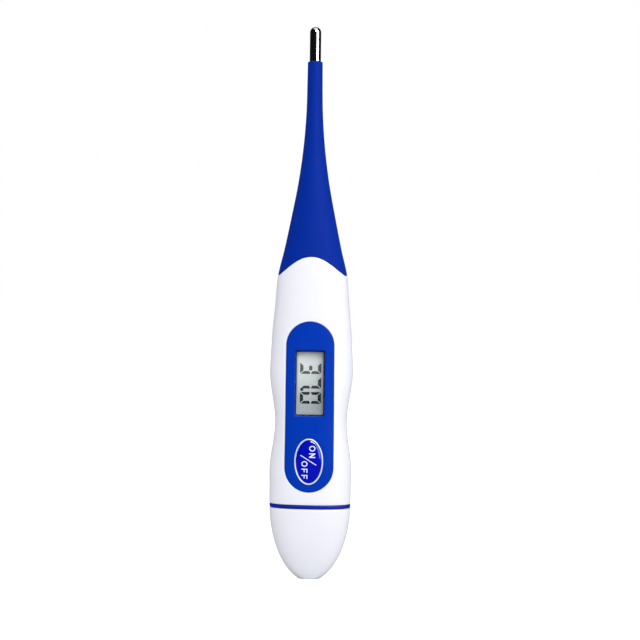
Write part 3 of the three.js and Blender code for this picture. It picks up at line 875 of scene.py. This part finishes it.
def front_panel():
    loops = [panel_loop(-d) for d in edge_steps(EDGE)]
    loops += [rectangle_loop(*WINDOW, d) for d in edge_steps(WINDOW_EDGE)]
    grows = [*edge_steps(HOLE_EDGE), *np.linspace(RIDGE_AWAY - RIDGE_HALF, RIDGE_AWAY + RIDGE_HALF, 7)]
    loops += [oval_loop(RIM_OUTER, HOLE_GAP + grow, BUTTON_CENTRE) for grow in grows]

    def keep(points):
        x, z = points.T
        window = rectangle_distance(x, z, *WINDOW)
        return (panel_distance(x, z) < 0) & (window > 0) & (button_hole_distance(x, z) > 0)

    coords, faces = fill(loops, keep, GRID)
    return slab(coords, faces, panel_face, flat(PANEL_BACK))


def plate(centre, half, corner, front, back, edge=0.05, step=0.6):
    """Flat plate with rounded corners and front edges."""
    def keep(points):
        return rectangle_distance(points[:, 0], points[:, 1], centre, half, corner) < 0

    def face(x, z):
        return front + rounded(-rectangle_distance(x, z, centre, half, corner), edge)

    loops = [rectangle_loop(centre, half, corner, -d, step) for d in edge_steps(edge)]
    coords, faces = fill(loops, keep, step)
    return slab(coords, faces, face, flat(back))


def node_plate(node, grow, corner, edge, front=None, back=None):
    """Plate over a flat CAD node."""
    (x0, x1), (y0, y1), (z0, z1) = (span(node, axis) for axis in range(3))
    centre, half = ((x0 + x1) / 2, (z0 + z1) / 2), ((x1 - x0) / 2 + grow, (z1 - z0) / 2 + grow)
    front, back = y0 if front is None else front, y1 if back is None else back
    return plate(centre, half, corner, front, back, edge)


piece("front_panel", *front_panel(), panel_gloss, "panel_blue", "housing", ["display_panel"])
piece(
    "window_lens", *node_plate("display_lens", 0.22, 0.2, 0.08), clear_lens(), "clear_lens", "housing",
    ["display_lens"],
)
piece(
    "display_cell", *node_plate("lcd_glass", 0, 0.15, 0.08), film_grey, "display_grey", "housing",
    ["lcd_glass"],
)
FILM_INSET = 0.4
FILM_THICKNESS = 0.06
film_half = (WINDOW_HALF[0] - FILM_INSET, WINDOW_HALF[1] - FILM_INSET)
FILM_FRONT = GLASS_FRONT - FILM_THICKNESS
piece(
    "display_film", *plate(WINDOW_CENTRE, film_half, 0.1, FILM_FRONT, GLASS_FRONT + 0.01, 0.03), film_grey,
    "display_grey", "housing",
)
# Sizes of the dark frame round the display window, a sheet of painted shadow for the window's recess.
BORDER_WIDTH = 0.36
BORDER_HIDDEN = 0.12
BORDER_CORNER = 0.25
BORDER_FRONT = span("display_lens", 1)[1] + 0.02
BORDER_BACK = BORDER_FRONT + 0.05


def window_shade_frame():
    """Thin dark frame behind the lens, from the window's edge in to the display: painted shadow that stands
    in for the shade inside the window's recess.
    """
    inner_half = [half - BORDER_WIDTH for half in WINDOW_HALF]
    outer_half = [half + BORDER_HIDDEN for half in WINDOW_HALF]

    def keep(points):
        x, z = points.T
        within = rectangle_distance(x, z, WINDOW_CENTRE, outer_half, BORDER_CORNER) < 0
        return within & (rectangle_distance(x, z, WINDOW_CENTRE, inner_half, BORDER_CORNER) > 0)

    loops = [rectangle_loop(WINDOW_CENTRE, half, BORDER_CORNER, 0) for half in (outer_half, inner_half)]
    coords, faces = fill(loops, keep, 0.3)
    return slab(coords, faces, flat(BORDER_FRONT), flat(BORDER_BACK))


# The shade inside the window's recess, painted as a dark frame behind the lens.
piece("window_shade_frame", *window_shade_frame(), window_shade_paint, "seal_blue", "housing")

# Figures read down the display: their tops point to +X and their line runs towards -Z.
FIGURE_HALF_HEIGHT = 2.07
FIGURE_MIDDLE_X = 0.08
FIGURE_WIDTH = 2.05
BAR = 0.76  # thickness of the bars that lie across a figure
UPRIGHT = 0.66  # and of the upright ones
BAR_GAP = 0.14
FIGURES = [(49.95, "abcdg"), (46.58, "abc"), (43.08, "abcdef")]  # place of the left uprights, and lit bars
POINT = (-1.9, 43.96)


def figure_bar(letter):
    """Corners of one of the seven bars, with x along the line of figures and y up."""
    h, w, t, u, g = FIGURE_HALF_HEIGHT, FIGURE_WIDTH, BAR / 2, UPRIGHT / 2, BAR_GAP
    if letter == "g":
        return [(u + g, 0.12), (u + g + 0.14, t), (w - u - g - 0.14, t), (w - u - g, 0.12),
                (w - u - g, -0.12), (w - u - g - 0.14, -t), (u + g + 0.14, -t), (u + g, -0.12)]
    if letter in "ad":
        corners = [(g - u, h + t), (w + u - g, h + t), (w - u - g, h - t), (u + g, h - t)]
        return corners if letter == "a" else [(x, -y) for x, y in corners]
    corners = [(w + u, h + t - g), (w + u, g), (w + 0.05, g), (w - u, g + 0.26), (w - u, h - t - g)]
    if letter in "ef":
        corners = [(w - x, y) for x, y in corners]
    return corners if letter in "bf" else [(x, -y) for x, y in corners]


def prism(outline, front, back):
    """Flat outline of (x, z) made solid between two places along Y."""
    count = len(outline)
    points = [(x, y, z) for y in (front, back) for x, z in outline]
    sides = [[k, (k + 1) % count, count + (k + 1) % count, count + k] for k in range(count)]
    return np.array(points), [list(range(count)), list(range(count, 2 * count)), *sides]


def figures():
    front, back = FILM_FRONT - 0.02, FILM_FRONT + 0.01
    parts = []
    for place, letters in FIGURES:
        for letter in letters:
            outline = [(FIGURE_MIDDLE_X + y, place - x) for x, y in figure_bar(letter)]
            parts.append(prism(outline, front, back))
    x, z = POINT
    dot = [(x - 0.4, z - 0.24), (x - 0.1, z - 0.36), (x + 0.3, z - 0.22),
           (x + 0.38, z + 0.12), (x + 0.12, z + 0.33), (x - 0.38, z + 0.3)]
    parts.append(prism(dot, front, back))
    return joined(*parts)


piece("display_figures", *figures(), display_ink(), "epoxy_black", "housing")

# ---------- button and its rim ----------
KEY_HALF = (RIM_INNER[0] - 0.06, RIM_INNER[1] - 0.06)
KEY_EDGE_Y = span("on_off_button", 1)[0] + 0.58
KEY_CROWN = 0.56
RIM_RAISED = 0.14
RIM_BACK = -4.2


def key_face(x, z):
    """Front of the domed key."""
    level = np.clip(np.hypot(x / KEY_HALF[0], (z - BUTTON_Z) / KEY_HALF[1]), 0, 1)
    return KEY_EDGE_Y - KEY_CROWN * np.sqrt(1 - level**2.5)


def key_ring(half, y=None):
    """Oval ring round the key's middle, at y or on its face."""
    turn = turns(KEY_COLUMNS)
    x, z = half[0] * np.cos(turn), BUTTON_Z + half[1] * np.sin(turn)
    return np.stack([x, key_face(x, z) if y is None else np.full_like(x, y), z], -1)


def button_key():
    """Domed oval key with its flange and the plunger that reaches the switch."""
    high = span("on_off_button", 1)[1]
    flange = INNER_FRONT + 0.3
    half = np.array(KEY_HALF)
    rings = [key_ring(half * math.sin(k * np.pi / 2 / 20)) for k in range(1, 21)]
    skirt = ((1, KEY_EDGE_Y + 0.3), (1, flange - 0.1), (1.1, flange), (1.1, flange + 0.25))
    rings += [key_ring(half * share, y) for share, y in skirt]
    stem = ((0.9, flange + 0.25), (0.8, flange + 0.4), (0.8, high - 0.15), (0.65, high))
    return capped(rings + [key_ring((radius, radius), y) for radius, y in stem])


def button_rim():
    """Thin bright ring of rounded section that follows the panel round the key."""
    turn = turns(RIM_COLUMNS)
    middle = [(RIM_INNER[k] + RIM_OUTER[k]) / 2 for k in (0, 1)]
    half = (RIM_OUTER[0] - RIM_INNER[0]) / 2 + 0.01
    x, z = middle[0] * np.cos(turn), middle[1] * np.sin(turn)
    slope = np.stack([np.cos(turn) / middle[0], np.sin(turn) / middle[1]], -1)
    slope /= np.linalg.norm(slope, axis=1)[:, None]
    base = front_of(x, z + BUTTON_Z)
    section = [
        (math.cos(a), base - (RIM_RAISED + 0.1) * math.sin(a) + 0.1) for a in np.linspace(0, np.pi, 13)
    ]
    section += [(across, np.full_like(x, RIM_BACK)) for across in (-1, 1)]
    rings = []
    for across, y in section:
        aside, up = half * across * slope.T
        rings.append(np.stack([x + aside, y, BUTTON_Z + z + up], -1))
    return strips(rings, closed=True)


piece("button_rim", *button_rim(), rim_pearl, "rim_silver", "housing", ["button_ring"])
piece("on_off_key", *button_key(), key_acrylic, "button_blue", "on_off_button", ["on_off_button"])

# Letters on the key read down it too. Each is LETTER_HEIGHT tall with its middle at (0, 0) before it is
# turned and moved onto the key.
LETTER_HEIGHT = 1.42
LETTER_STROKE = 0.23
LETTER_RAISED = 0.02
ON_X = 0.83
OFF_X = -0.92
# Each letter's place is above the middle of the key.
LETTERS = [("O", ON_X, 3.04, 1.3), ("N", ON_X, 1.45, 1.05), ("O", OFF_X, -0.47, 1.3),
           ("F", OFF_X, -2.03, 0.92), ("F", OFF_X, -3.46, 0.92)]
SLASH = ((-1.86, 1.5), (1.8, -0.74))
SLASH_WIDTH = 0.19


def letter_outlines(letter, width):
    """Outer and inner outline of a letter, with x along the line and y up."""
    h, w, s = LETTER_HEIGHT / 2, width / 2, LETTER_STROKE
    if letter == "O":
        return [oval_loop((w, h), grow, (0, 0), 40) for grow in (0, -s)]
    if letter == "N":
        slant = 0.2 * h
        return [np.array([(-w, -h), (s - w, -h), (s - w, slant), (w - s, -h), (w, -h),
                          (w, h), (w - s, h), (w - s, -slant), (s - w, h), (-w, h)])]
    middle = 0.05
    return [np.array([(-w, -h), (s - w, -h), (s - w, middle - s), (0.75 * w, middle - s), (0.75 * w, middle),
                      (s - w, middle), (s - w, h - s), (w, h - s), (w, h), (-w, h)])]


def inside(outline, points):
    """Which points lie inside a closed outline."""
    found = np.zeros(len(points), bool)
    for (x0, z0), (x1, z1) in zip(outline, np.roll(outline, -1, axis=0)):
        crosses = (z0 > points[:, 1]) != (z1 > points[:, 1])
        rise = (z1 - z0) if z1 != z0 else 1e-12
        found ^= crosses & (points[:, 0] < x0 + (points[:, 1] - z0) * (x1 - x0) / rise)
    return found


def raised_shape(outlines):
    """A shape drawn in (x, z), standing a little proud of the key and following its dome."""
    outlines = [even_loop(outline, 0.12) for outline in outlines]

    def keep(points):
        found = inside(outlines[0], points)
        for hole in outlines[1:]:
            found &= ~inside(hole, points)
        return found

    coords, faces = fill(outlines, keep, 0.14)
    return slab(
        coords, faces, lambda x, z: key_face(x, z) - LETTER_RAISED, lambda x, z: key_face(x, z) + 0.05
    )


def lettering():
    shapes = []
    for letter, x, z, width in LETTERS:
        outlines = letter_outlines(letter, width)
        turned = [np.stack([x + o[:, 1], BUTTON_Z + z - o[:, 0]], -1) for o in outlines]
        shapes.append(raised_shape(turned))
    start, end = np.array(SLASH) + (0, BUTTON_Z)
    along = (end - start) / np.linalg.norm(end - start)
    across = np.array((-along[1], along[0])) * SLASH_WIDTH / 2
    shapes.append(raised_shape([np.array([start - across, end - across, end + across, start + across])]))
    return joined(*shapes)


piece("key_lettering", *lettering(), ink_white, "reflector_white", "on_off_button")

# ---------- soft sleeve ----------
SLEEVE_GAP = 0.07
SLEEVE_WALL = 1.0
SLEEVE_EDGE = 0.1
SLEEVE_TOP_EDGE = 0.3
SLEEVE_COLUMNS = COLUMNS // 2
SLEEVE_STEP = 0.3
TIP_BORE = 0.9
SKIRT_BORE = 1.15
middles = [(low + high) / 2 for low, high in zip(JOINT_Z, JOINT_Z[1:])]
FLARE_TOP = JOINT_Z[0] - (middles[0] - JOINT_Z[0])
sleeve_cuts = [FLARE_TOP, *middles, SLEEVE_TOP]
SLEEVE_ROUND = turns(SLEEVE_COLUMNS) - np.pi / 2


def sleeve_ring(z, inset=0.0):
    return on_body(SLEEVE_ROUND, z, inset)


def sleeve_flare():
    """Wide foot of the sleeve, gripping the housing's shoulder."""
    foot = shoulder(SLEEVE_ROUND) + SLEEVE_GAP
    rings = [sleeve_ring(foot + d, rounded(d, SLEEVE_EDGE)) for d in edge_steps(SLEEVE_EDGE)]
    rows = int((FLARE_TOP - SHOULDER_SIDE) / 0.45)
    start = foot + SLEEVE_EDGE
    rings += [sleeve_ring(start + (FLARE_TOP - start) * k / rows) for k in range(1, rows + 1)]
    rings += [sleeve_ring(FLARE_TOP + (foot - FLARE_TOP) * k / 12, SLEEVE_WALL) for k in range(13)]
    return strips(rings, closed=True)


def sleeve_length(low, high, top):
    """A length of the thin sleeve. The top one ends in a rounded lip round the sensor."""
    end = high - SLEEVE_TOP_EDGE if top else high
    rows = max(4, round((end - low) / SLEEVE_STEP))
    rings = [sleeve_ring(low + (end - low) * k / rows) for k in range(rows + 1)]
    bore = SKIRT_BORE if top else TIP_BORE
    if top:
        rings += [
            sleeve_ring(high - d, rounded(d, SLEEVE_TOP_EDGE)) for d in reversed(edge_steps(SLEEVE_TOP_EDGE))
        ][1:]
    rings += [circle(bore, high - (high - low) * k / 4, SLEEVE_COLUMNS) for k in range(5)]
    return strips(rings, closed=True)


piece("sleeve_flare", *sleeve_flare(), sleeve_tpe, "sleeve_blue", "housing", ["sleeve_root"])
for index, (low, high) in enumerate(zip(sleeve_cuts, sleeve_cuts[1:]), start=1):
    top = index == len(JOINT_Z)
    bend = piece(
        f"sleeve_bend_{index}", *sleeve_length(low, high, top), sleeve_tpe, "sleeve_blue",
        nodes=[f"sleeve_link_{index}"],
    )
    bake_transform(bend)

# ---------- sensor ----------


def sensor_thimble():
    """Drawn metal cap with a domed end and the skirt that sits in the sleeve."""
    foot = SLEEVE_TOP + 0.02
    lip = 0.08
    outline = [(SKIRT_RADIUS, SKIRT_LOW), (SKIRT_RADIUS, foot)]
    outline += [(SENSOR_RADIUS - rounded(d, lip), foot + d) for d in edge_steps(lip)]
    dome = LENGTH - SENSOR_RADIUS
    outline += [(SENSOR_RADIUS, z) for z in np.linspace(foot + 0.4, dome, 14)]
    outline += [
        (SENSOR_RADIUS * math.cos(a), dome + SENSOR_RADIUS * math.sin(a))
        for a in np.linspace(0, np.pi / 2 - 0.03, 22)[1:]
    ]
    inner = SENSOR_RADIUS - SENSOR_WALL
    back = [
        (inner * math.cos(a), dome + inner * math.sin(a)) for a in np.linspace(np.pi / 2 - 0.05, 0, 8)
    ]
    back += [(inner, foot + SENSOR_WALL), (SKIRT_RADIUS - 0.25, foot), (SKIRT_RADIUS - 0.25, SKIRT_LOW)]
    outside = capped_top([circle(r, z, SMALL_COLUMNS) for r, z in outline])
    within = capped_top([circle(r, z, SMALL_COLUMNS) for r, z in reversed(back)])
    rim = strips([circle(*outline[0], SMALL_COLUMNS), circle(*back[-1], SMALL_COLUMNS)])
    return joined(outside, within, rim)


piece("sensor_thimble", *sensor_thimble(), sensor_metal, "sensor_metal", "tip_10", ["sensor_cap"])

# ---------- battery and switch ----------


def turned_about_y(outline, centre_z, count=SMALL_COLUMNS):
    """Rings round an axis along Y for an outline of (radius, y)."""
    turn = turns(count)
    return [
        np.stack([r * np.sin(turn), np.full(count, float(y)), centre_z + r * np.cos(turn)], -1)
        for r, y in outline
    ]


def coin_cell():
    """Button cell: a can with rounded edges, a sealing groove and the smaller negative top."""
    radius = span("battery", 0)[1]
    front, back = span("battery", 1)
    centre = sum(span("battery", 2)) / 2
    outline = [(0.3, front), (2.9, front), (3.15, front + 0.08), (3.25, front + 0.35)]
    outline += [(3.35, front + 0.42), (3.45, front + 0.35), (3.6, front + 0.3)]
    outline += [(radius - rounded(d, 0.35), front + 0.3 + d) for d in edge_steps(0.35)[1:]]
    outline += [(radius, y) for y in np.linspace(front + 0.9, back - 0.55, 4)]
    outline += [(radius - rounded(d, 0.45), back - d) for d in reversed(edge_steps(0.45))]
    outline += [(2.6, back), (2.5, back - 0.05), (0.3, back - 0.05)]
    return capped(turned_about_y(outline, centre))


def switch_dome():
    """Thin snap dome with a flat rim."""
    front, back = span("switch_dome", 1)
    radius = span("switch_dome", 0)[1]

    def skin(rim, crown, shares):
        return [(radius * share, rim - (rim - crown) * (1 - share**2.2)) for share in shares]

    outline = skin(back - 0.08, front, np.linspace(0.02, 1, 14))
    outline += [(radius + 0.2, back - 0.06), (radius + 0.2, back), (radius - 0.1, back)]
    outline += skin(back, front + 0.1, np.linspace(0.9, 0.02, 10))
    return capped(turned_about_y(outline, BUTTON_Z))


piece("coin_cell", *coin_cell(), cell_steel, "cell_steel", "battery", ["battery"])
dome = piece("snap_dome", *switch_dome(), spring_steel, "spring_steel", "housing", ["switch_dome"])
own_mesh(dome)

# ---------- inner pieces from CAD, with softened edges ----------
SOFTENED = {
    "circuit_carrier": (carrier_plastic, 0.12),
    "circuit_board": (board_green, 0.06),
    "battery_contact_positive": (spring_steel, 0.06),
    "battery_contact_negative": (spring_steel, 0.05),
    "controller_chip": (epoxy_black, 0.15),
    "chip_resistor": (epoxy_black, 0.06),
    "chip_capacitor": (ceramic_tan, 0.06),
    "buzzer_disc": (buzzer_brass, 0.06),
    "zebra_strip": (rubber_black, 0.06),
    "lcd_reflector": (reflector_white, 0.05),
}


def soften(node, material, width):
    """A copy of a CAD node with its facets merged and its edges rounded, in the node's place."""
    source = frame["nodes"][node]
    work = bmesh.new()
    work.from_mesh(source.data)
    bmesh.ops.remove_doubles(work, verts=work.verts, dist=1e-7)
    bmesh.ops.dissolve_limit(work, angle_limit=math.radians(2), verts=work.verts, edges=work.edges)
    sharp = [e for e in work.edges if len(e.link_faces) == 2 and e.calc_face_angle() > math.radians(35)]
    bmesh.ops.bevel(
        work, geom=sharp, offset=width * MM, segments=3, profile=0.5, affect="EDGES", clamp_overlap=True
    )
    bmesh.ops.triangulate(work, faces=[f for f in work.faces if len(f.verts) > 4])
    bmesh.ops.recalc_face_normals(work, faces=work.faces)
    mesh = bpy.data.meshes.new(node + "_soft")
    work.to_mesh(mesh)
    work.free()
    finish_mesh(node + "_fine", mesh, material, source["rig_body"], [node])


for node, (material, width) in SOFTENED.items():
    soften(node, material, width)

for node, source in frame["nodes"].items():
    if node.startswith("sensor_lead"):
        own = lead_red
    elif node in ("tip_potting", "thermistor"):
        own = epoxy_black
    else:
        continue
    source.data.materials.clear()
    source.data.materials.append(own)

# ---------- floor and light ----------
FLOOR_SIZE = 6000
FLOOR_GLOW = 0.8
AMBIENT = 0.9
MIRRORED = 0.008
MIDDLE = (0, 0, 60)


def make_floor():
    """Plain white floor that stays dim in the thermometer's own gloss."""
    half = FLOOR_SIZE / 2 * MM
    mesh = bpy.data.meshes.new("floor")
    corners = [(x * half, y * half, 0) for x, y in ((-1, -1), (1, -1), (1, 1), (-1, 1))]
    mesh.from_pydata(corners, [], [(0, 1, 2, 3)])
    material, tree, shader = node_tree("floor_white")
    set_inputs(shader, Base_Color=(0.55, 0.55, 0.57), Roughness=0.9, Specular_IOR_Level=0.0)
    glow = between(tree, light_path(tree, "Is Camera Ray"), 0, FLOOR_GLOW, 0, 1)
    set_inputs(shader, Emission_Color=(1, 1, 1), Emission_Strength=glow)
    dim = new_node(tree, "BsdfDiffuse", Color=(0.05, 0.05, 0.06)).outputs[0]
    mix = mixed_shader(tree, light_path(tree, "Is Glossy Ray"), shader.outputs[0], dim)
    set_inputs(tree.nodes["Material Output"], Surface=mix)
    mesh.materials.append(material)
    added("floor", mesh)


def make_light(name, place, aim, size, power, glossy=True, diffuse=True):
    """Soft rectangular light, from place towards aim."""
    data = bpy.data.lights.new(name, "AREA")
    data.shape = "RECTANGLE"
    data.size, data.size_y = (s * MM for s in size)
    data.energy = power
    light = added(name, data)
    light.location = Vector(place) * MM
    light.rotation_euler = (Vector(aim) - Vector(place)).to_track_quat("-Z", "Y").to_euler()
    light.visible_glossy = glossy
    light.visible_diffuse = diffuse


def make_world(ambient, mirrored):
    """White behind the thermometer, ambient light on it, and a darker room in its gloss."""
    world = bpy.data.worlds.new("studio")
    world.use_nodes = True
    tree = world.node_tree
    tree.nodes.clear()

    def background(level):
        return new_node(tree, "Background", Color=(level, level, level)).outputs[0]

    lit = mixed_shader(tree, light_path(tree, "Is Glossy Ray"), background(ambient), background(mirrored))
    seen = mixed_shader(tree, light_path(tree, "Is Camera Ray"), lit, background(1.0))
    new_node(tree, "OutputWorld", Surface=seen)
    world.cycles.sampling_method = "NONE"  # it is even, and this keeps its two levels apart
    bpy.context.scene.world = world


make_floor()
make_world(AMBIENT, MIRRORED)
make_light("right_fill", (330, -330, 190), MIDDLE, (160, 420), 0.75, glossy=False)
make_light("front_fill", (60, -600, 120), MIDDLE, (500, 400), 0.75, glossy=False)
make_light("top", (0, 0, 560), MIDDLE, (420, 420), 0.6)
make_light("right_gleam", (318, -260, 230), (0, 0, 120), (300, 420), 1.9, diffuse=False)
make_light("key_gleam", (150, -290, 330), (0, 0, 27), (260, 150), 3.2, diffuse=False)
bpy.context.scene.view_settings.view_transform = "Standard"
